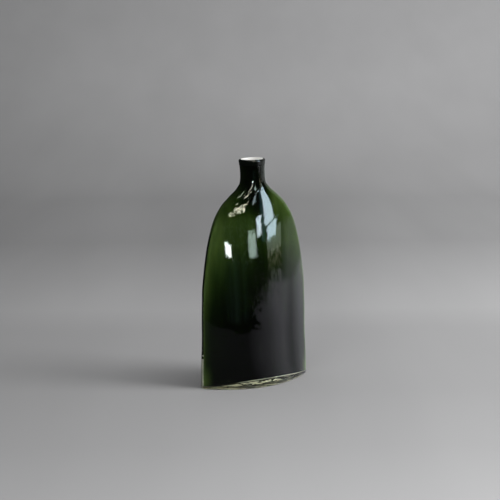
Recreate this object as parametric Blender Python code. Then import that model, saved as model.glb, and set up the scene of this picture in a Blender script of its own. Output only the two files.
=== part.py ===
"""A tall glass bottle with a flattened oval body, blown in layers of glass.

From the inside out it has a thin opal lining, a dark green layer and a clear
casing. It stands on a thick clear foot, ground flat, and ends in a rolled lip.

Metres, +Z up. The origin is the middle of the underside. The body is long
along X and thin along Y, and its neck tips a little towards -X. Every wall is
worked out from the inside of the bottle, as a blown bottle grows outwards.
"""

import math

import bmesh
import bpy

# Inside of the bottle
NECK_HEIGHT = 0.262            # from the table to the narrowest place of the neck
RIM_RISE = 0.018               # from there to the top of the lip
CAVITY_LENGTH = 0.1354         # along X, at its longest
CAVITY_THICKNESS = 0.0524      # along Y, at its thickest
CAVITY_CORNER_RADIUS = 0.0007  # at the two pointed ends of the oval, near the foot
NECK_BORE = 0.0234
MOUTH_BORE = 0.0262

# Layers of glass, and the clearance between them
OPAL_WALL = 0.0006
GREEN_WALL = 0.0012
CASING_WALL = 0.0012
OPAL_FLOOR = 0.0015
GREEN_FLOOR = 0.0025
LAYER_GAP = 0.0003

# Heel and foot, where the clear glass is thickest
HEEL_FLARE = 0.0028            # extra clear glass all round the foot
HEEL_HEIGHT = 0.068            # where the flare has died away
FOOT_END_HEIGHT = 0.0020       # thickness of the foot at its two ends
FOOT_MIDDLE_HEIGHT = 0.0108    # and in the middle of its length
FOOT_EDGE_RADIUS = 0.0012
PONTIL_DIAMETER = 0.024        # ground hollow in the underside
PONTIL_DEPTH = 0.0012

# Lip
LIP_HEIGHT = 0.0065
LIP_WALL = 0.0030
RIM_SETBACK = 0.0008           # the lining ends this far below the top of the lip

NECK_TILT = math.radians(1.8)

# Outlines of the cavity as (share of NECK_HEIGHT, share of the way from the
# neck's bore to the full size). The body stands almost straight, closes in a
# long shoulder and runs into the neck in a hollow curve.
length_shares = (
    (0.0, 0.983), (0.18, 1.0), (0.30, 1.0), (0.45, 0.98), (0.55, 0.93), (0.64, 0.865),
    (0.72, 0.775), (0.79, 0.66), (0.85, 0.485), (0.89, 0.295), (0.93, 0.10), (1.0, 0.0),
)
thickness_shares = ((0.0, 1.0), (0.25, 1.0), (0.55, 0.8), (0.75, 0.5), (0.88, 0.2), (1.0, 0.0))

# The pointed ends open out into the round neck between these two heights. At the
# neck their radius is this share of the half thickness.
rounding_shares = (0.35, 0.95)
full_round_share = 0.98

# The neck starts to tip at the first height and is straight again above the second.
tilt_shares = (0.83, 0.94)

# The crown of the foot dies away over this many times its own rise.
crown_fade_share = 8.0

# Slopes are measured over this share of the neck's height.
slope_step_share = 0.001

# How finely the faces follow the curves
ring_points = 36
body_rows = 10
shoulder_rows = 12
shoulder_start_share = 0.70
edge_rows = 3
lip_points = 12
lip_squareness = 3.0
pontil_segments = 24

# Sizes worked out from the ones above
HEIGHT = NECK_HEIGHT + RIM_RISE
GREEN_INSIDE = OPAL_WALL + LAYER_GAP
GREEN_OUTSIDE = GREEN_INSIDE + GREEN_WALL
CASING_INSIDE = GREEN_OUTSIDE + LAYER_GAP
CASING_OUTSIDE = CASING_INSIDE + CASING_WALL
WALL_BOTTOM = FOOT_END_HEIGHT + LAYER_GAP
LINING_BOTTOM = WALL_BOTTOM + GREEN_FLOOR + LAYER_GAP
LIP_BOTTOM = HEIGHT - LIP_HEIGHT
WALL_TOP = LIP_BOTTOM - LAYER_GAP
LINING_TOP = HEIGHT - RIM_SETBACK


def clear_scene():
    for old in list(bpy.data.objects):
        bpy.data.objects.remove(old, do_unlink=True)


def clamp(value):
    return min(max(value, 0.0), 1.0)


def smooth_step(value):
    share = clamp(value)
    return share * share * (3 - 2 * share)


def smooth_curve(points, at):
    """Read a smooth curve through the points that never swings past them."""
    steps = [b[0] - a[0] for a, b in zip(points, points[1:])]
    slopes = [(b[1] - a[1]) / step for a, b, step in zip(points, points[1:], steps)]
    tangents = [0.0]
    for before, after in zip(slopes, slopes[1:]):
        tangents.append(2 * before * after / (before + after) if before * after > 0 else 0.0)
    tangents.append(0.0)
    at = min(max(at, points[0][0]), points[-1][0])
    span = max(i for i in range(len(steps)) if points[i][0] <= at)
    t = (at - points[span][0]) / steps[span]
    start, end = points[span][1], points[span + 1][1]
    value = start * (1 + 2 * t) * (1 - t) ** 2 + end * t * t * (3 - 2 * t)
    lean = tangents[span] * t * (1 - t) ** 2 - tangents[span + 1] * t * t * (1 - t)
    return value + steps[span] * lean


def cavity_half_sizes(height):
    """Half length and half thickness of the cavity at a height."""
    share = clamp(height / NECK_HEIGHT)
    mouth_share = max(0.0, (height - NECK_HEIGHT) / RIM_RISE) ** 2
    bore = NECK_BORE + (MOUTH_BORE - NECK_BORE) * mouth_share
    length = bore + (CAVITY_LENGTH - NECK_BORE) * smooth_curve(length_shares, share)
    thickness = bore + (CAVITY_THICKNESS - NECK_BORE) * smooth_curve(thickness_shares, share)
    return length / 2, thickness / 2


def corner_radius(height, half_thickness):
    start, end = rounding_shares
    share = clamp((height / NECK_HEIGHT - start) / (end - start)) ** 2
    return CAVITY_CORNER_RADIUS + (half_thickness * full_round_share - CAVITY_CORNER_RADIUS) * share


def oval_point(half_length, half_thickness, radius, angle):
    """Point of a four-centred oval whose outward normal has this angle.

    Two flat arcs make the faces and two small ones the ends, so the ovals of
    neighbouring layers run exactly parallel. Equal half sizes give a circle.
    """
    normal_x, normal_y = math.cos(angle), math.sin(angle)
    reach = half_length - radius
    face_radius = (reach ** 2 + half_thickness ** 2 - radius ** 2) / (2 * (half_thickness - radius))
    if abs(normal_x) <= reach / (face_radius - radius):
        centre = math.copysign(face_radius - half_thickness, normal_y)
        return face_radius * normal_x, face_radius * normal_y - centre
    return math.copysign(reach, normal_x) + radius * normal_x, radius * normal_y


def heel_flare(height):
    return HEEL_FLARE * (1 - smooth_step(height / HEEL_HEIGHT))


def wall_outline(height, offset):
    """Plan of a surface that lies this far outside the cavity, measured across the wall."""
    half_length, half_thickness = cavity_half_sizes(height)
    step = NECK_HEIGHT * slope_step_share
    above = cavity_half_sizes(height + step)
    below = cavity_half_sizes(height - step)
    length_slope, thickness_slope = ((a - b) / (2 * step) for a, b in zip(above, below))
    radius = corner_radius(height, half_thickness) + offset
    half_length += offset * math.hypot(1, length_slope)
    half_thickness += offset * math.hypot(1, thickness_slope)
    angles = [math.tau * i / ring_points for i in range(ring_points)]
    return [oval_point(half_length, half_thickness, radius, angle) for angle in angles]


def crown_lift(x, height):
    """How far the arched top of the foot lifts the glass above it."""
    rise = FOOT_MIDDLE_HEIGHT - FOOT_END_HEIGHT
    half_foot = cavity_half_sizes(0)[0] + CASING_OUTSIDE + HEEL_FLARE
    fade = 1 - clamp((height - WALL_BOTTOM) / (crown_fade_share * rise))
    return rise * (1 - clamp(abs(x) / half_foot) ** 2) * fade ** 2


def tipped(x, y, height, lift):
    """Place a point, tipping the neck sideways along a smooth bend."""
    start, end = (NECK_HEIGHT * share for share in tilt_shares)
    share = clamp((height - start) / (end - start))
    tilt = NECK_TILT * smooth_step(share)
    drift = (end - start) * (share ** 3 - share ** 4 / 2) + max(0.0, height - end)
    shift = math.tan(NECK_TILT) * drift
    return x * math.cos(tilt) - shift, y, height + lift + x * math.sin(tilt)


def add_ring(mesh, height, offset, crowned=True):
    ring = []
    for x, y in wall_outline(height, offset):
        lift = crown_lift(x, height) if crowned else 0.0
        ring.append(mesh.verts.new(tipped(x, y, height, lift)))
    return ring


def join_rings(mesh, rings):
    for lower, upper in zip(rings, rings[1:]):
        for i in range(ring_points):
            after = (i + 1) % ring_points
            mesh.faces.new((lower[i], lower[after], upper[after], upper[i]))


def fill_ring(mesh, ring):
    """Close a ring with strips that run straight across the bottle."""
    last = ring_points // 2
    mesh.faces.new((ring[0], ring[1], ring[-1]))
    for i in range(1, last - 1):
        mesh.faces.new((ring[i], ring[i + 1], ring[-i - 1], ring[-i]))
    mesh.faces.new((ring[last - 1], ring[last], ring[last + 1]))


def row_heights(bottom, top):
    """Heights of a wall's rows. All layers share them, so their facets stay parallel."""
    start = HEIGHT * shoulder_start_share
    shared = [start * i / body_rows for i in range(body_rows)]
    shared += [start + (HEIGHT - start) * i / shoulder_rows for i in range(shoulder_rows)]
    margin = (HEIGHT - start) / shoulder_rows / 2
    between = [height for height in shared if bottom + margin < height < top - margin]
    return [bottom] + between + [top]


def wall_rings(mesh, bottom, top, offset, flared=False):
    rings = []
    for height in row_heights(bottom, top):
        flare = heel_flare(height) if flared else 0.0
        rings.append(add_ring(mesh, height, offset + flare))
    return rings


def make_material(name, colour, roughness, alpha=1.0):
    material = bpy.data.materials.new(name)
    material.use_nodes = True
    shader = material.node_tree.nodes["Principled BSDF"]
    shader.inputs["Base Color"].default_value = (*colour, 1.0)
    shader.inputs["Roughness"].default_value = roughness
    shader.inputs["Metallic"].default_value = 0.0
    shader.inputs["IOR"].default_value = 1.5
    shader.inputs["Alpha"].default_value = alpha
    material.diffuse_color = (*colour, alpha)
    return material


def make_object(name, mesh, material):
    bmesh.ops.recalc_face_normals(mesh, faces=mesh.faces)
    data = bpy.data.meshes.new(name)
    mesh.to_mesh(data)
    mesh.free()
    data.shade_smooth()
    data.set_sharp_from_angle(angle=math.radians(40))
    data.materials.append(material)
    made = bpy.data.objects.new(name, data)
    bpy.context.scene.collection.objects.link(made)
    return made


def make_cup(name, inside, outside, bottom, floor, top, material):
    """A layer with a floor: one skin up the outside, over the rim and down the inside."""
    mesh = bmesh.new()
    outer = wall_rings(mesh, bottom, top, outside)
    inner = wall_rings(mesh, bottom + floor, top, inside)
    fill_ring(mesh, outer[0])
    join_rings(mesh, outer + inner[::-1])
    fill_ring(mesh, inner[0])
    return make_object(name, mesh, material)


def make_opal_lining():
    white = make_material("opal_glass", (0.86, 0.85, 0.81), 0.25)
    return make_cup("opal_lining", 0.0, OPAL_WALL, LINING_BOTTOM, OPAL_FLOOR, LINING_TOP, white)


def make_green_body():
    green = make_material("green_glass", (0.012, 0.030, 0.006), 0.08)
    return make_cup("green_body", GREEN_INSIDE, GREEN_OUTSIDE, WALL_BOTTOM, GREEN_FLOOR, WALL_TOP, green)


def make_clear_casing():
    """The outer wall: open at both ends, thicker towards the heel."""
    clear = make_material("casing_glass", (0.90, 0.93, 0.86), 0.03, 0.3)
    mesh = bmesh.new()
    outer = wall_rings(mesh, WALL_BOTTOM, WALL_TOP, CASING_OUTSIDE, flared=True)
    inner = wall_rings(mesh, WALL_BOTTOM, WALL_TOP, CASING_INSIDE)
    join_rings(mesh, outer + inner[::-1] + outer[:1])
    return make_object("clear_casing", mesh, clear)


def make_clear_foot():
    """A solid slab, ground flat below and arched above, with a shallow hollow under it."""
    clear = make_material("foot_glass", (0.90, 0.92, 0.84), 0.03, 0.35)
    mesh = bmesh.new()
    rings = []
    for i in range(edge_rows + 1):
        turn = math.pi / 2 * i / edge_rows
        inset = FOOT_EDGE_RADIUS * (1 - math.sin(turn))
        height = FOOT_EDGE_RADIUS * (1 - math.cos(turn))
        offset = CASING_OUTSIDE + heel_flare(height) - inset
        rings.append(add_ring(mesh, height, offset, crowned=False))
    rings.append(add_ring(mesh, FOOT_END_HEIGHT, CASING_OUTSIDE + heel_flare(FOOT_END_HEIGHT)))
    join_rings(mesh, rings)
    fill_ring(mesh, rings[0])
    fill_ring(mesh, rings[-1])
    foot = make_object("clear_foot", mesh, clear)

    hollow = bmesh.new()
    bmesh.ops.create_uvsphere(
        hollow, u_segments=pontil_segments, v_segments=pontil_segments // 2, radius=PONTIL_DIAMETER / 2)
    flatness = PONTIL_DEPTH / (PONTIL_DIAMETER / 2)
    bmesh.ops.scale(hollow, vec=(1, 1, flatness), verts=hollow.verts)
    cutter = make_object("pontil_cutter", hollow, clear)
    cutter.hide_render = True
    cutter.display_type = "WIRE"
    cut = foot.modifiers.new("pontil", "BOOLEAN")
    cut.operation = "DIFFERENCE"
    cut.solver = "EXACT"
    cut.object = cutter
    return foot


def make_lip_ring():
    """A rolled bead around the lining's end, with a softly squared section."""
    dark = make_material("lip_glass", (0.008, 0.012, 0.006), 0.08)
    mesh = bmesh.new()
    power = 2 / lip_squareness
    rings = []
    for i in range(lip_points):
        turn = math.tau * i / lip_points
        across = math.copysign(abs(math.cos(turn)) ** power, math.cos(turn))
        up = math.copysign(abs(math.sin(turn)) ** power, math.sin(turn))
        height = LIP_BOTTOM + LIP_HEIGHT / 2 * (1 + up)
        offset = OPAL_WALL + LAYER_GAP + LIP_WALL / 2 * (1 + across)
        rings.append(add_ring(mesh, height, offset))
    join_rings(mesh, rings + rings[:1])
    return make_object("lip_ring", mesh, dark)


clear_scene()
make_opal_lining()
make_green_body()
make_clear_casing()
make_clear_foot()
make_lip_ring()
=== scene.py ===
"""Looks of a hand-blown glass bottle: opal, dark green and clear glass, one over the other."""

import math
import random

import bmesh
import bpy
from mathutils import Matrix, Vector, noise


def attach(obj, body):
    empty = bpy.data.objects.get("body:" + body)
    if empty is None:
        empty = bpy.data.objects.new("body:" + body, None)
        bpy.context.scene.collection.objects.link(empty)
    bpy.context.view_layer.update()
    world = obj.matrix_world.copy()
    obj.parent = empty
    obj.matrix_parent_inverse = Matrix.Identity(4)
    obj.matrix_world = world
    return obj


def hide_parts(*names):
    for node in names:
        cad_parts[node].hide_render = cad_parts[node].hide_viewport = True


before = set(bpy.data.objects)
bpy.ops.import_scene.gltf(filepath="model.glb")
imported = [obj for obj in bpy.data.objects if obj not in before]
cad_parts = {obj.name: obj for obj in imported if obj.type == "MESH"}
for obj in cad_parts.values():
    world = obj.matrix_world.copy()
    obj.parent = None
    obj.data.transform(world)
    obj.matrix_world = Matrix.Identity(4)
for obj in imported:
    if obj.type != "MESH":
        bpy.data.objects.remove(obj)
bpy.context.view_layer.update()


# Opal lining: the first bubble, a thin skin of opaque white glass that all the others
# lie on. It shows only at the mouth, where it comes up inside the lip. Its inside is
# the shape that every other layer follows, so the bottle's outlines are set here.

neck_height = 0.262
full_height = 0.280
cavity_length, cavity_thickness = 0.1354, 0.0524
neck_bore, mouth_bore = 0.0234, 0.0262
tightest_corner = 0.0007       # at the two pointed ends of the oval
opal_wall = 0.0006
opal_floor_height = 0.0066
opal_floor = 0.0015
points_round = 256
crowding = 0.55                # how far the points draw together at the two pointed ends
opal_step = 0.003              # how far apart the rows of points lie up the wall
floor_rings = 16

# Share of neck_height against share of the way from the bore to the full size
length_shares = (
    (0.0, 0.983), (0.18, 1.0), (0.30, 1.0), (0.45, 0.98), (0.55, 0.93), (0.64, 0.865),
    (0.72, 0.775), (0.79, 0.66), (0.85, 0.485), (0.89, 0.295), (0.93, 0.095), (0.96, 0.016), (1.0, 0.0))
thickness_shares = (
    (0.0, 1.0), (0.25, 1.0), (0.55, 0.8), (0.75, 0.5), (0.86, 0.235), (0.90, 0.10), (0.921, 0.024),
    (0.945, 0.003), (1.0, 0.0))
rounding_shares = (0.35, 0.95)  # the pointed ends open out into the round neck between these
full_round_share = 0.98

neck_tilt = math.radians(1.8)
tilt_starts, tilt_ends = 0.83 * neck_height, 0.94 * neck_height

foot_end_height, foot_middle_height = 0.0020, 0.0108
crown_fade_share = 8           # the arch dies away over this many times its own rise
foot_half_length = 0.0732
foot_edge_radius = 0.0012
seam_height = 0.0023


def clamp(value):
    return min(max(value, 0.0), 1.0)


def smooth_step(value):
    share = clamp(value)
    return share * share * (3 - 2 * share)


def smooth_curve(points, at):
    """Read a smooth curve through the points that never swings past them."""
    steps = [b[0] - a[0] for a, b in zip(points, points[1:])]
    slopes = [(b[1] - a[1]) / step for a, b, step in zip(points, points[1:], steps)]
    tangents = [0.0]
    for before, after in zip(slopes, slopes[1:]):
        tangents.append(2 * before * after / (before + after) if before * after > 0 else 0.0)
    tangents.append(0.0)
    at = min(max(at, points[0][0]), points[-1][0])
    span = max(i for i in range(len(steps)) if points[i][0] <= at)
    t = (at - points[span][0]) / steps[span]
    start, end = points[span][1], points[span + 1][1]
    value = start * (1 + 2 * t) * (1 - t) ** 2 + end * t * t * (3 - 2 * t)
    lean = tangents[span] * t * (1 - t) ** 2 - tangents[span + 1] * t * t * (1 - t)
    return value + steps[span] * lean


def cavity_half_sizes(height):
    share = clamp(height / neck_height)
    mouth_share = max(0.0, (height - neck_height) / (full_height - neck_height)) ** 2
    bore = neck_bore + (mouth_bore - neck_bore) * mouth_share
    length = bore + (cavity_length - neck_bore) * smooth_curve(length_shares, share)
    thickness = bore + (cavity_thickness - neck_bore) * smooth_curve(thickness_shares, share)
    return length / 2, thickness / 2


def oval_at(height, offset):
    """Half length, half thickness and corner radius of a skin this far outside the cavity."""
    half_length, half_thickness = cavity_half_sizes(height)
    start, end = rounding_shares
    rounding = clamp((height / neck_height - start) / (end - start)) ** 2
    radius = tightest_corner + (half_thickness * full_round_share - tightest_corner) * rounding
    step = 0.0003
    above, below = cavity_half_sizes(height + step), cavity_half_sizes(height - step)
    length_slope, thickness_slope = ((a - b) / (2 * step) for a, b in zip(above, below))
    return (half_length + offset * math.hypot(1, length_slope),
            half_thickness + offset * math.hypot(1, thickness_slope), radius + offset)


def oval_point(half_length, half_thickness, radius, facing):
    """Point of a four-centred oval whose outward normal has this angle."""
    normal_x, normal_y = math.cos(facing), math.sin(facing)
    reach = half_length - radius
    face_radius = (reach ** 2 + half_thickness ** 2 - radius ** 2) / (2 * (half_thickness - radius))
    if abs(normal_x) <= reach / (face_radius - radius):
        centre = math.copysign(face_radius - half_thickness, normal_y)
        return face_radius * normal_x, face_radius * normal_y - centre
    return math.copysign(reach, normal_x) + radius * normal_x, radius * normal_y


def crown_lift(x, height):
    """How far the arched top of the foot lifts the glass above it, and its own sides."""
    rise = foot_middle_height - foot_end_height
    below = clamp((height - foot_edge_radius) / (seam_height - foot_edge_radius))
    fade = 1 - clamp((height - seam_height) / (crown_fade_share * rise))
    return rise * (1 - clamp(abs(x) / foot_half_length) ** 2) * below * fade ** 2


def tipped(x, y, height, lift):
    """Place a point, tipping the neck sideways along a smooth bend."""
    bend = tilt_ends - tilt_starts
    share = clamp((height - tilt_starts) / bend)
    tilt = neck_tilt * smooth_step(share)
    drift = bend * (share ** 3 - share ** 4 / 2) + max(0.0, height - tilt_ends)
    return Vector((x * math.cos(tilt) - math.tan(neck_tilt) * drift, y,
                   height + lift + x * math.sin(tilt)))


def evenly(start, end, step):
    """Numbers from start up or down to end, about a step apart, without the end."""
    count = max(1, round(abs(end - start) / step))
    return [start + (end - start) * i / count for i in range(count)]


def blown_tube(rows, ripple=None):
    """Bend a unit tube along rows of (height, offset, spread) into the skins of a layer.

    The spread draws a row in towards the middle, to make a floor. Two attributes go with
    the points for the materials: the share of the way in from either end of the oval, and
    the depth in metres under the seam between casing and foot.
    """
    mesh = bmesh.new()
    bmesh.ops.create_cone(mesh, cap_ends=False, segments=points_round, radius1=1, radius2=1, depth=1)
    uprights = [e for e in mesh.edges if e.verts[0].co.z != e.verts[1].co.z]
    bmesh.ops.subdivide_edges(mesh, edges=uprights, cuts=len(rows) - 2, use_grid_fill=True)
    ovals = [oval_at(height, offset) for height, offset, _ in rows]
    from_end = mesh.verts.layers.float.new("from_end")
    under_seam = mesh.verts.layers.float.new("under_seam")
    for vert in mesh.verts:
        row = round((vert.co.z + 0.5) * (len(rows) - 1))
        height, offset, spread = rows[row]
        turn = math.atan2(vert.co.y, vert.co.x)
        facing = turn + crowding / 2 * math.sin(2 * turn)
        x, y = (spread * value for value in oval_point(*ovals[row], facing))
        if ripple:
            sunk = ripple(x, y, height)
            x -= sunk * math.cos(facing)
            y -= sunk * math.sin(facing)
        vert.co = tipped(x, y, height, crown_lift(x, height))
        vert[from_end] = 1 - abs(x) / ovals[row][0]
        vert[under_seam] = max(0.0, seam_height + crown_lift(x, seam_height) - vert.co.z)
    return mesh


def open_ends(mesh):
    """The edges round the lower and the upper end of a tube, lower first."""
    rims = [e for e in mesh.edges if e.is_boundary]
    groups = []
    while rims:
        found, waiting = [], [rims[0]]
        while waiting:
            edge = waiting.pop()
            if edge not in found:
                found.append(edge)
                waiting += [e for v in edge.verts for e in v.link_edges if e.is_boundary]
        groups.append(found)
        rims = [e for e in rims if e not in found]
    return sorted(groups, key=lambda group: min(e.verts[0].co.z for e in group))


def close_floors(mesh):
    """Draw each open end of a tube together in its middle. Its points keep one order, so
    that each run gives the same middle."""
    for rim in open_ends(mesh):
        ring = list(dict.fromkeys(v for e in rim for v in e.verts))
        middle = sum((v.co for v in ring), Vector()) / len(ring)
        bmesh.ops.pointmerge(mesh, verts=ring, merge_co=middle)


def finish_piece(mesh, name, materials):
    """Turn a bmesh into a smooth object."""
    data = bpy.data.meshes.new(name)
    mesh.to_mesh(data)
    mesh.free()
    data.shade_smooth()
    data.set_sharp_from_angle(angle=math.radians(50))
    for material in materials:
        data.materials.append(material)
    piece = bpy.data.objects.new(name, data)
    bpy.context.scene.collection.objects.link(piece)
    return piece


def set_stops(bands, stops):
    """Fill a ramp from stops of (place, colour), where one number is a grey."""
    while len(bands) < len(stops):
        bands.new(0.5)
    for band, (place, colour) in zip(bands, stops):
        band.position = place
        band.color = (*colour, 1) if isinstance(colour, tuple) else (colour, colour, colour, 1)


class Socket:
    """A value, colour or vector in a material. Sums on a value add their Math nodes."""

    def __init__(self, tree, link):
        self.tree, self.link = tree, link

    def node(self, kind, inputs, output=0, **settings):
        """Add any node: its settings or a ramp's stops, then its sockets' values or links."""
        made = self.tree.nodes.new("ShaderNode" + kind)
        for name, value in settings.items():
            if name == "stops":
                set_stops(made.color_ramp.elements, value)
            else:
                setattr(made, name, value)
        for name, value in inputs.items():
            if isinstance(value, Socket):
                self.tree.links.new(value.link, made.inputs[name])
            else:
                made.inputs[name].default_value = value
        return Socket(self.tree, made.outputs[output])

    def maths(self, operation, *others):
        return self.node("Math", dict(enumerate((self, *others))), operation=operation)

    def __add__(self, other):
        return self.maths("ADD", other)

    def __sub__(self, other):
        return self.maths("SUBTRACT", other)

    def __mul__(self, other):
        return self.maths("MULTIPLY", other)

    def __truediv__(self, other):
        return self.maths("DIVIDE", other)

    def __radd__(self, other):
        return self + other

    def __rmul__(self, other):
        return self * other

    def __rsub__(self, other):
        return (self * -1.0) + other

    def between(self, low, high):
        """0 at low and below, 1 at high and above, with a soft change between."""
        return self.node("MapRange", {"Value": self, "From Min": low, "From Max": high},
                         interpolation_type="SMOOTHSTEP")

    def ramp(self, *stops):
        """A colour or grey read from this value, 0 to 1, between stops of (place, colour)."""
        return self.node("ValToRGB", {0: self}, stops=stops)

    def mix(self, low, high):
        """The colour low where this value is 0 and high where it is 1."""
        return self.node("Mix", {0: self, 6: low, 7: high}, output=2, data_type="RGBA")

    def noise(self, size, detail=2.0, roughness=0.5, stretch=(1, 1, 1)):
        """Noise from 0 to 1 with spots of about this size, in this place's own units."""
        scaled = self.node("Mapping", {"Vector": self, "Scale": tuple(1 / (size * s) for s in stretch)})
        return scaled.node("TexNoise", {"Vector": scaled, "Scale": 1.0, "Detail": detail,
                                        "Roughness": roughness})


def new_finish(name, colour, roughness, **sockets):
    """A material with its Principled shader: constants are set on the shader's own sockets."""
    material = bpy.data.materials.new(name)
    material.use_nodes = True
    shader = material.node_tree.nodes["Principled BSDF"]
    shader.inputs["Base Color"].default_value = (*colour, 1)
    shader.inputs["Roughness"].default_value = roughness
    for socket, value in sockets.items():
        shader.inputs[socket.replace("_", " ")].default_value = value
    material.diffuse_color = (*colour, 1)
    start = Socket(material.node_tree, None)
    return material, shader, start


def feed(shader, socket, value):
    value.tree.links.new(value.link, shader.inputs[socket])


def place_on(start):
    """The place on the piece, in metres."""
    return start.node("TexCoord", {}, output=3)


def across(spot):
    """The three numbers of a place: along the bottle, across it and up."""
    return [spot.node("SeparateXYZ", {"Vector": spot}, output=i) for i in range(3)]


lining_top = full_height
floor_spreads = [i / floor_rings for i in range(1, floor_rings)]
inner_wall = evenly(opal_floor_height + opal_floor, lining_top, opal_step)
outer_wall = evenly(opal_floor_height, lining_top, opal_step)
rim = [(lining_top, opal_wall, 1.0), (lining_top, 0.0, 1.0)]
opal_rows = (
    [(opal_floor_height, opal_wall, spread) for spread in floor_spreads]
    + [(height, opal_wall, 1.0) for height in outer_wall] + rim
    + [(height, 0.0, 1.0) for height in inner_wall[::-1]]
    + [(opal_floor_height + opal_floor, 0.0, spread) for spread in floor_spreads[::-1]])
opal_mesh = blown_tube(opal_rows)
close_floors(opal_mesh)

opal, shader, start = new_finish("opal_glass", (0.86, 0.85, 0.81), 0.12, IOR=1.5)
spot = place_on(start)
cloud = spot.noise(0.012, stretch=(1, 1, 3))
feed(shader, "Base Color", cloud.mix((0.80, 0.79, 0.75, 1), (0.90, 0.90, 0.88, 1)))
feed(shader, "Roughness", 0.10 + 0.10 * spot.noise(0.004))

opal_lining = finish_piece(opal_mesh, "blown_opal_lining", [opal])
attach(opal_lining, "root")
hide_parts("opal_lining")


# Green body: dense dark green glass gathered over the lining. Where it ran thin, at the
# shoulders and along the two ends, the white behind it lets its green show, and the light
# that comes through it there is painted in as brighter green. Under the floor it is torn
# into patches through which the opal glass shows cream.

green_inside, green_outside = 0.0009, 0.0021
green_floor = 0.0025
heel_flare, heel_height, green_flare_share = 0.0028, 0.068, 0.6
wall_top = 0.2732
keel_height, keel_round = 0.0014, 0.006
green_step, inner_step = 0.0025, 0.006


def flare_at(height):
    return heel_flare * (1 - smooth_step(height / heel_height))


def green_skin(height):
    return green_outside + green_flare_share * flare_at(height)


def quarter_turn(steps):
    """Angles from nothing to a quarter turn, in this many steps."""
    return [math.pi / 2 * i / steps for i in range(steps + 1)]


keel_rows = [(seam_height + (keel_height - seam_height) * math.sin(turn),
              green_skin(0) - keel_round * (1 - math.cos(turn))) for turn in quarter_turn(10)]
green_rows = (
    [(keel_height, keel_rows[-1][1], spread) for spread in floor_spreads]
    + [(height, offset, 1.0) for height, offset in keel_rows[:0:-1]]
    + [(height, green_skin(height), 1.0) for height in evenly(seam_height, wall_top, green_step)]
    + [(wall_top, green_outside, 1.0), (wall_top, green_inside, 1.0)]
    + [(height, green_inside, 1.0)
       for height in evenly(wall_top, seam_height + green_floor, inner_step)[1:]]
    + [(seam_height + green_floor, green_inside, spread) for spread in [1.0] + floor_spreads[::-1]])
green_mesh = blown_tube(green_rows)
close_floors(green_mesh)

green, shader, start = new_finish("green_glass", (0.02, 0.04, 0.008), 0.3, IOR=1.5,
                                  Specular_IOR_Level=0.0)
spot = place_on(start)
x, y, z = across(spot)
from_end = start.node("Attribute", {}, output="Fac", attribute_name="from_end")
under_seam = start.node("Attribute", {}, output="Fac", attribute_name="under_seam")
# How much green glass the eye looks through: more towards the heel and away from the ends
crossing = (7.4 - 38 * z).maths("MINIMUM", 4.4).maths("MAXIMUM", 0.6)
streaks = spot.noise(0.011, detail=3.0, stretch=(1, 1, 7))
broad = spot.noise(0.035, detail=1.0, stretch=(1, 1, 3))
depth = (2.9 + crossing * from_end / (from_end + 0.05) + 1.3 * from_end
         + 1.8 * (0.5 - streaks) + 1.2 * (0.5 - broad))

# Painted light in the green: brightest where the glass is thin and at the heel's ends, where light comes
# through it, and least in the neck
glow = (depth * -1.0).maths("EXPONENT")
neck_dark = (z + 0.03 * from_end - 0.5 * x).between(0.228, 0.258)
painted_heel_glow = (1 - z.between(0.010, 0.034)) * (1 - from_end.between(0.0, 0.15))
glow = glow * (1 - 0.95 * neck_dark) * (12.5 + 4.5 * (1 - z.between(0.12, 0.17))) + 0.42 * painted_heel_glow
body_colour = glow.ramp((0.0, 0.0), (0.08, (0.0055, 0.0125, 0.0015)), (0.35, (0.036, 0.060, 0.013)),
                        (1.0, (0.108, 0.178, 0.050)))

# Painted shade and light up the left edge: a dark line along it, and pale drips near the heel that stand
# in for the light coming through the clear glass there
to_left = x * -1.0
painted_edge_line = (to_left.between(0.02, 0.03) * (y + 0.0010 * spot.noise(0.003)).between(-0.0014, -0.0004)
             * (1 - (y + 0.003 * spot.noise(0.006)).between(0.0040, 0.0052)))
painted_heel_light = (spot.noise(0.004, stretch=(4, 4, 1)) + 0.32 - 20 * z).between(0.02, 0.10)
body_colour = (painted_edge_line * (1 - z.between(0.180, 0.230))).mix(
    body_colour, painted_heel_light.mix((0.01, 0.012, 0.006, 1), (0.55, 0.55, 0.48, 1)))

# The torn underside, between a dark band and a pale line along its edge
torn = spot.noise(0.0052, detail=3.0, roughness=0.6, stretch=(2.2, 1.2, 0.6))
patches = torn.ramp(
    (0.45, (0.010, 0.011, 0.005)), (0.485, (0.09, 0.085, 0.045)), (0.52, (0.80, 0.76, 0.60)))
left_part = to_left.between(0.015, 0.040)
edge_line = (under_seam.between(0.0001, 0.0004) * (1 - under_seam.between(0.0011, 0.0015))
             * (1 - left_part))
patches = (under_seam.between(0.0009, 0.0014).maths("MAXIMUM", left_part)
           * (1 - under_seam.between(0.0021, 0.0027))).mix(patches, (0.02, 0.02, 0.010, 1))
patches = (left_part * (1 - z.between(0.0026, 0.0034))).mix(patches, (0.80, 0.76, 0.62, 1))
patches = edge_line.mix(patches, (0.90, 0.86, 0.70, 1))
feed(shader, "Base Color", under_seam.between(0.0001, 0.0003).mix(body_colour, patches))

green_body = finish_piece(green_mesh, "blown_green_body", [green])
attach(green_body, "root")
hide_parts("green_body")


# Clear casing: a gather of clear glass all over the outside, fire-polished, with the
# faint waves that the wet newspaper and the jacks leave. It thickens towards the heel
# and is fused to the green glass inside it and to the foot below.

casing_outside = 0.0036
overlap = 0.0003                 # how far fused glass reaches into its neighbour
tucked = green_outside - overlap
casing_step = 0.0013
wave_depths, wave_lengths = (0.00014, 0.00002), (0.040, 0.013)
peel_size, peel_depth = 0.0028, 0.00011


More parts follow.
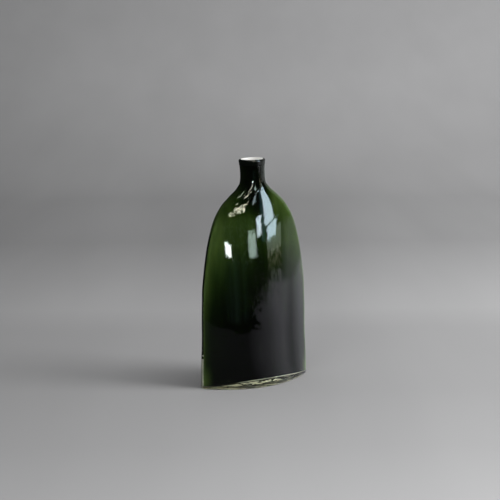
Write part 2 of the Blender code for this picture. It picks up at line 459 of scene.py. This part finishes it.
def ripple(x, y, height):
    """How far the waves of the outside sink in at a place."""
    place = Vector((x, y, height))
    long_wave = noise.noise(place / wave_lengths[0])
    short_wave = noise.noise(place / wave_lengths[1] + Vector((7, 3, 5)))
    return wave_depths[0] * (1 + long_wave) + wave_depths[1] * (1 + short_wave)


outer_rows = evenly(seam_height, wall_top, casing_step)
casing_rows = (
    [(height, casing_outside + flare_at(height), 1.0) for height in outer_rows]
    + [(wall_top, casing_outside, 1.0), (wall_top, tucked, 1.0)]
    + [(height, tucked, 1.0) for height in evenly(wall_top, seam_height, inner_step)[1:]]
    + [(seam_height, tucked, 1.0)])
casing_mesh = blown_tube(casing_rows, ripple=ripple)
lower, upper = open_ends(casing_mesh)
for face in bmesh.ops.bridge_loops(casing_mesh, edges=lower + upper)["faces"]:
    face.material_index = 1


def clear_glass(name, colour):
    """Clear glass with a fine orange peel, strongest on the shoulder, that lets light through."""
    finish, shader, start = new_finish(name, colour, 0.02, IOR=1.5, Transmission_Weight=1.0)
    tree = finish.node_tree
    spot = place_on(start)
    on_shoulder = across(spot)[2].between(0.190, 0.215)
    peel = spot.noise(peel_size, detail=1.0, stretch=(1, 1, 1.3)) * (0.06 + 0.30 * on_shoulder)
    feed(shader, "Normal", peel.node("Bump", {"Height": peel, "Strength": 1.0, "Distance": peel_depth}))
    passing = start.node("BsdfTransparent", {"Color": (*colour, 1)})
    shadow = start.node("LightPath", {}, output="Is Shadow Ray")
    both = start.node("MixShader", {0: shadow, 1: Socket(tree, shader.outputs[0]), 2: passing})
    tree.links.new(both.link, tree.nodes["Material Output"].inputs["Surface"])
    return finish


casing_glass = clear_glass("casing_glass", (0.93, 0.96, 0.90))
fused_seam = new_finish("fused_seam", (1, 1, 1), 0.0, IOR=1.0, Transmission_Weight=1.0)[0]
clear_casing = finish_piece(casing_mesh, "clear_casing_gather", [casing_glass, fused_seam])
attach(clear_casing, "root")
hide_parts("clear_casing")


# Clear foot: a thick slab of clear glass under the body, fused to the casing and ground
# flat. Its top is arched, so it is thickest in the middle of the bottle's length. The
# shallow hollow underneath is where the pontil was ground away.

pontil_radius, pontil_depth = 0.012, 0.0012
side_step, foot_floor_rings = 0.00012, 40
least_rise = 0.00001             # a point below this lies on the table
edge_rows = [(foot_edge_radius * (1 - math.cos(turn)), foot_edge_radius * (1 - math.sin(turn)))
             for turn in quarter_turn(8)]
side_heights = evenly(foot_edge_radius, seam_height, side_step)[1:]
foot_floor_spreads = [i / foot_floor_rings for i in range(1, foot_floor_rings)]
foot_top = seam_height + 2 * overlap
foot_rows = (
    [(0.0, casing_outside + heel_flare - foot_edge_radius, spread) for spread in foot_floor_spreads]
    + [(height, casing_outside + flare_at(height) - inset, 1.0) for height, inset in edge_rows]
    + [(height, casing_outside + flare_at(height), 1.0) for height in side_heights]
    + [(seam_height, casing_outside + flare_at(seam_height), 1.0), (seam_height, tucked, 1.0),
       (foot_top, tucked - overlap, 1.0)]
    + [(foot_top, tucked - overlap, spread) for spread in foot_floor_spreads[::-1]])
foot_mesh = blown_tube(foot_rows, ripple=ripple)
close_floors(foot_mesh)
for face in foot_mesh.faces:
    if face.normal.z > 0.5 and face.calc_center_median().z > seam_height / 2:
        face.material_index = 1
    if face.normal.z < -0.9 and face.calc_center_median().z < foot_edge_radius / 8:
        face.material_index = 2
for vert in foot_mesh.verts:
    hollow = 1 - (vert.co.x ** 2 + vert.co.y ** 2) / pontil_radius ** 2
    if vert.co.z < least_rise and hollow > 0:
        vert.co.z = pontil_depth * hollow

foot_glass = clear_glass("foot_glass", (0.93, 0.95, 0.88))
ground, shader, start = new_finish("ground_glass", (0.6, 0.6, 0.5), 0.7, IOR=1.5)
spot = place_on(start)
x = across(spot)[0]
scars = (spot.noise(0.0065, detail=3.0, roughness=0.6, stretch=(2.2, 0.8, 1))
         + 0.06 * (x * -1.0).between(0.01, 0.05) - 0.03 * x.between(-0.01, 0.04))
feed(shader, "Base Color", scars.ramp(
    (0.43, (0.03, 0.03, 0.02)), (0.47, (0.22, 0.21, 0.15)), (0.53, (0.84, 0.81, 0.68))))
clear_foot = finish_piece(foot_mesh, "clear_foot_slab", [foot_glass, fused_seam, ground])
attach(clear_foot, "root")
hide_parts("clear_foot")


# Seeds: the small air bubbles caught in the clear glass near the heel. They ride with the
# casing and stand for no solid of their own.

seed_count, seed_radii, seed_heights = 26, (0.00022, 0.00042), (0.006, 0.050)
seed_stretch = 1.5               # drawn out upwards as the glass was
scatter = random.Random(5)
seed_mesh = bmesh.new()
for _ in range(seed_count):
    height, facing = scatter.uniform(*seed_heights), scatter.uniform(0, math.tau)
    skin = (casing_outside + flare_at(height) + green_skin(height)) / 2
    x, y = oval_point(*oval_at(height, skin), facing)
    spot = tipped(x, y, height, crown_lift(x, height))
    bmesh.ops.create_icosphere(seed_mesh, subdivisions=2, radius=scatter.uniform(*seed_radii),
                               matrix=Matrix.Translation(spot) @ Matrix.Diagonal((1, 1, seed_stretch, 1)))
bubble, shader, start = new_finish("bubble", (0.16, 0.17, 0.15), 0.08, IOR=1.5)
shade = place_on(start).noise(0.0004)
feed(shader, "Base Color", shade.mix((0.10, 0.11, 0.09, 1), (0.24, 0.25, 0.22, 1)))
seeds = finish_piece(seed_mesh, "seeds_in_clear_glass", [bubble])
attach(seeds, "root")


# Lip: the hot end of the neck rolled over into a bead round the lining. It is the same
# dark glass, so thick here that it looks black, and fire-polished.

lip_round, lip_undercut, lip_step = 0.0024, 0.0004, 0.0006
lip_drop = 0.0002                # its top lies this far under the end of the lining
lip_proud, lip_gap = 0.00005, 0.0001  # past the casing, and from the lining
same_place = 0.000001            # points nearer than this are one
lip_foot, lip_top = wall_top - overlap, full_height - lip_drop
outer_lip, inner_lip = casing_outside + lip_proud, opal_wall + lip_gap
lip_rows = (
    [(lip_foot, outer_lip - lip_undercut, 1.0)]
    + [(height, outer_lip, 1.0) for height in evenly(lip_foot, lip_top - lip_round, lip_step)]
    + [(lip_top - lip_round * (1 - math.sin(turn)), outer_lip - lip_round * (1 - math.cos(turn)), 1.0)
       for turn in quarter_turn(8)]
    + [(lip_top, inner_lip, 1.0), (lip_foot, inner_lip, 1.0),
       (lip_foot, outer_lip - lip_undercut, 1.0)])
lip_mesh = blown_tube(lip_rows)
bmesh.ops.remove_doubles(lip_mesh, verts=lip_mesh.verts, dist=same_place)

lip = new_finish("lip_glass", (0.002, 0.003, 0.002), 0.03, IOR=1.5)[0]
lip_ring = finish_piece(lip_mesh, "rolled_lip", [lip])
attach(lip_ring, "root")
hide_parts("lip_ring")


# Camera: the place and lens that the photograph was taken with, as worked out from the
# bottle's outline and the curve of its foot.

camera_data = bpy.data.cameras.new("camera")
camera_data.lens, camera_data.sensor_width = 72, 36
camera = bpy.data.objects.new("camera", camera_data)
bpy.context.scene.collection.objects.link(camera)
bpy.context.scene.camera = camera
round_angle, pitch, roll = math.radians(25.955), 0.19247, math.radians(-0.48)
away, camera_height, to_the_left = 1.2110, 0.4030, 0.0046
turn_round = Matrix.Rotation(-round_angle, 4, "Z")
stand = turn_round @ Vector((-to_the_left, -away, 0)) + Vector((0, 0, camera_height))
camera.matrix_world = (Matrix.Translation(stand) @ turn_round
                       @ Matrix.Rotation(math.pi / 2 - pitch, 4, "X") @ Matrix.Rotation(roll, 4, "Z"))


# Sweep: mid-grey paper all round, level under the bottle and curving up far away. What
# shines in the glass is only the near paper, which ends in front of the bottle; past its
# edge the glass shows the darker room that the world stands for.

sweep_radius, sweep_curve = 1.7, 1.6
sweep_drop = 0.0001              # how far the paper lies under the foot
stage_mesh = bmesh.new()
outline = [(0.0, 0.0)] + [
    (sweep_radius + sweep_curve * math.sin(turn), sweep_curve * (1 - math.cos(turn)))
    for turn in quarter_turn(24)]
line = [stage_mesh.verts.new((reach, 0, rise - sweep_drop)) for reach, rise in outline]
edges = [stage_mesh.edges.new(pair) for pair in zip(line, line[1:])]
bmesh.ops.spin(stage_mesh, geom=line + edges, axis=(0, 0, 1), cent=(0, 0, 0), angle=math.tau,
               steps=96, use_merge=True)
bmesh.ops.recalc_face_normals(stage_mesh, faces=stage_mesh.faces)


def seen_from_front(spot):
    """Turn a place or direction to the camera's right, its way forwards and up."""
    return across(spot.node("Mapping", {"Vector": spot, "Rotation": (0, 0, round_angle)}))


def turn_of(right, forwards):
    """Degrees round from the camera's right, through 90 towards it, to 180 at its left."""
    return (forwards * -1.0).maths("ARCTAN2", right) * math.degrees(1)


paper, shader, start = new_finish("paper", (0.40, 0.40, 0.405), 0.9, Specular_IOR_Level=0.0)
tree = paper.node_tree
spot = place_on(start)
right, forwards, up = seen_from_front(spot)

# The paper's grey with painted light and shade: lighter and darker from near to far and from side to
# side, as the light falls on it, and in soft blotches
away_shade = (forwards / 4 + 0.25).ramp(
    (0.16, 0.88), (0.195, 0.76), (0.24, 0.69), (0.31, 0.68), (0.34, 0.74), (0.40, 0.68), (0.49, 0.62),
    (0.66, 0.78), (0.80, 1.02), (0.90, 1.16))
side = (right / (forwards.maths("MAXIMUM", -0.6) + 1.25)).maths("MINIMUM", 0.3).maths("MAXIMUM", -0.3)
side_shade = 1 + (0.5 + 0.25 * forwards.maths("MAXIMUM", 0.0)) * side
far_side_light = (side.maths("ABSOLUTE").between(0.06, 0.14)
             * forwards.between(0.1, 0.5) * (1 - forwards.between(1.7, 2.2)))
flattened = start.node("CombineXYZ", {0: right, 1: 0.2 * forwards, 2: up})
mottled = 0.94 + 0.12 * flattened.noise(0.15, detail=2.0)
grey = away_shade * side_shade * mottled * (1 + 0.09 * far_side_light)
feed(shader, "Base Color", (0.6 * grey).mix((0, 0, 0, 1), (0.70, 0.70, 0.708, 1)))

# How bright the glass shows it, round the bottle, as a painted reflection: a glow on the paper that only
# the glass sees, and the torn edge where it ends
turn = turn_of(right, forwards)
shining = (turn / 360 + 0.5).ramp(
    (0.0, 0.08), (0.27, 0.10), (0.34, 0.45), (0.43, 0.80), (0.45, 0.72), (0.478, 0.52), (0.495, 0.66),
    (0.522, 1.0), (0.558, 0.78), (0.594, 0.48), (0.63, 0.33), (0.664, 0.19), (0.686, 0.095),
    (0.82, 0.09), (1.0, 0.08))
reach = (right * right + forwards * forwards).maths("SQRT")
shining = shining * (0.85 + 0.45 * reach.between(0.1, 0.8))
torn_off = (3.4 * (reach - 0.22).maths("MAXIMUM", 0.0)
            * (spot.noise(0.04, detail=2.0, roughness=0.7) - 0.5) * right.between(0.13, 0.19))
front_edge = (forwards + 0.28 + 0.17 * right.between(0.25, 0.30)
              + 0.07 * (1 - right.between(-0.03, 0.09)) + torn_off)
near_paper = (front_edge.between(0.0, 0.01) * (1.05 - right).between(0.0, 0.30)
              * (right + 0.60).between(0.0, 0.05) * (0.02 - up).between(0.0, 0.01))
glossy = start.node("LightPath", {}, output="Is Glossy Ray")
sheen = start.node("Emission", {"Color": shining.mix((0, 0, 0, 1), (0.98, 0.98, 1.08, 1))})
beyond = start.node("BsdfTransparent", {})
mirrored = start.node("MixShader", {0: near_paper, 1: beyond, 2: sheen})
both = start.node("MixShader", {0: glossy, 1: Socket(tree, shader.outputs[0]), 2: mirrored})
tree.links.new(both.link, tree.nodes["Material Output"].inputs["Surface"])
sweep = finish_piece(stage_mesh, "sweep", [paper])


# Light: an even grey all round and two soft lamps, a tall one from the right that throws
# the soft shadow and a weak one from the left. Only what shines in the glass shows the
# room, which is painted all round in degrees: dark, with windows, a wall and small lamps.

world = bpy.data.worlds.new("studio")
bpy.context.scene.world = world
world.use_nodes = True
tree = world.node_tree
start = Socket(tree, None)
right, forwards, up = seen_from_front(start.node("TexCoord", {}, output=0))
turn, rise = turn_of(right, forwards), up.maths("ARCSINE") * math.degrees(1)
behind = (turn * -1.0).between(10, 24) * (turn + 100).between(0, 40) * (rise + 6).between(0, 4)
low_right = (turn * -1.0).between(-16, 6) * (turn + 120).between(0, 40) * (rise * -1.0).between(-1, 3)

# The same degrees at three depths of the noise, so that no two patterns agree
way, other_way, third_way = (
    start.node("CombineXYZ", {0: turn, 1: rise, 2: depth}) for depth in (0.0, 50.0, 90.0))
ragged_turn = turn + 9.0 * (way.noise(2.0, detail=3.0, roughness=0.6, stretch=(1, 0.33, 1)) - 0.5)
ragged_rise = rise + 1.8 * (other_way.noise(2.0, detail=3.0, roughness=0.6, stretch=(1, 0.33, 1)) - 0.5)


def pane(room, turns, rises, colour, lean=0.0, shown=1.0, soft=0.25):
    """Paint an opening into the room, between these degrees round and up. Its sides look
    ragged, because the glass is never quite smooth."""
    tilted = ragged_rise + lean * (turn - turns[0])
    softer = 4 * soft
    inside = ((ragged_turn - turns[0]).between(-softer, softer)
              * (turns[1] - ragged_turn).between(-softer, softer)
              * (tilted - rises[0]).between(-soft, soft) * (rises[1] - tilted).between(-soft, soft))
    return (inside * shown).mix(room, (*colour, 1))


room = behind.mix((0.02, 0.022, 0.02, 1), (0.38, 0.38, 0.38, 1))
room = low_right.mix(room, (0.54, 0.57, 0.56, 1))

# Dim teal bands low in front
bands = start.node("CombineXYZ", {0: turn}).noise(9.0, detail=2.0, roughness=0.6).between(0.42, 0.62)
room = pane(room, (58, 96), (-12.2, -3.0), (0.07, 0.12, 0.10), shown=bands, soft=0.6)

# The lit wall under the right window, which gets mottled and brown further down
speckle = way.noise(2.6, detail=2.0, roughness=0.65, stretch=(1, 0.3, 1)).between(0.45, 0.57)
wall_glow = (rise / -10).ramp(
    (0.10, (1.7, 2.1, 1.8)), (0.28, (1.3, 1.4, 1.15)), (0.44, (0.80, 0.74, 0.52)),
    (0.66, (0.25, 0.25, 0.18)), (0.9, (0.8, 0.8, 0.85)))
mottle = 1 + (rise * -1.0).between(2.2, 3.0) * (1.7 * speckle - 0.9)
wall_glow = wall_glow.node("VectorMath", {0: wall_glow, "Scale": mottle}, operation="SCALE")
wall = (turn.between(7, 9.5) * (32.0 - ragged_turn).between(0, 2)
        * (ragged_rise * -1.0).between(0.3, 0.7))
room = wall.mix(room, wall_glow)

# Faint specks, the right window with its bar, the windows further left and a lamp
specks = third_way.noise(2.6, detail=2.0, roughness=0.6, stretch=(1, 0.2, 1)).between(0.52, 0.62)
room = pane(room, (42, 90), (-5, 5), (0.22, 0.30, 0.22), shown=specks, soft=1.5)
room = pane(room, (33, 38), (-1, 20), (0.25, 0.50, 0.55))                      # dim glass between
room = pane(room, (15.5, 29.5), (-1.0, 2.6), (9.2, 11.9, 13.4))                # right window, low
room = pane(room, (19.5, 33), (1.5, 45), (9.8, 12.4, 14.0))                    # right window, high
room = pane(room, (12, 34), (2.7, 3.2), (0.5, 0.7, 0.8), lean=0.11, soft=0.1)  # its bar
room = pane(room, (38, 44.7), (0.3, 5.2), (13.0, 15.5, 17.0))                  # middle window
room = pane(room, (46, 49), (10.6, 17.0), (5.0, 6.5, 7.0))                     # slit above it
room = pane(room, (47, 57), (-3.6, 1.0), (5.6, 7.2, 6.5), soft=0.4)            # dimmer window
room = pane(room, (80.5, 88), (-4.5, -1.2), (28.0, 30.0, 29.0))                # bright lamp

# Leaves and lights high up, broken into sparks
sparkle = third_way.noise(2.5, detail=1.0, stretch=(1, 0.45, 1)).between(0.51, 0.55)
room = pane(room, (60, 84), (8.5, 13.5), (24.0, 23.0, 18.0), shown=sparkle)
room = pane(room, (58, 66), (13.0, 18.0), (24.0, 23.0, 18.0), shown=sparkle)
sparkle = third_way.noise(7.0, detail=1.0).between(0.52, 0.58)
room = pane(room, (63, 79), (24, 46), (20.0, 19.0, 15.0), shown=sparkle)
room = pane(room, (35, 150), (60, 89), (14.0, 14.0, 12.0), shown=sparkle)

glossy = start.node("LightPath", {}, output="Is Glossy Ray")
seen = glossy.mix((0.5, 0.5, 0.5, 1), room)
tree.links.new(seen.link, tree.nodes["Background"].inputs["Color"])


def lamp(name, place, aim, size, radiance):
    """A flat lamp at a place, facing its aim, whose face has this brightness. The room is
    painted, so no lamp shows in the glass."""
    light = bpy.data.lights.new(name, "AREA")
    light.shape = "RECTANGLE"
    light.size, light.size_y = size
    light.energy = radiance * size[0] * size[1] * 4
    made = bpy.data.objects.new(name, light)
    made.location = place
    made.rotation_euler = (Vector(aim) - Vector(place)).to_track_quat("-Z", "Y").to_euler()
    made.visible_camera = made.visible_transmission = made.visible_glossy = False
    bpy.context.scene.collection.objects.link(made)


key_turn, key_reach = math.radians(10), 1.41
key_way = turn_round @ Vector((math.cos(key_turn), -math.sin(key_turn), 1))
lamp("tall_softbox", key_reach * key_way, (0, 0, 0.1), (0.6, 3.0), 7.0)
lamp("left_fill", turn_round @ Vector((-1.0, -1.7, 0.7)), (0, 0, 0.14), (1.2, 0.9), 2.8)

bpy.context.scene.view_settings.view_transform = "Standard"
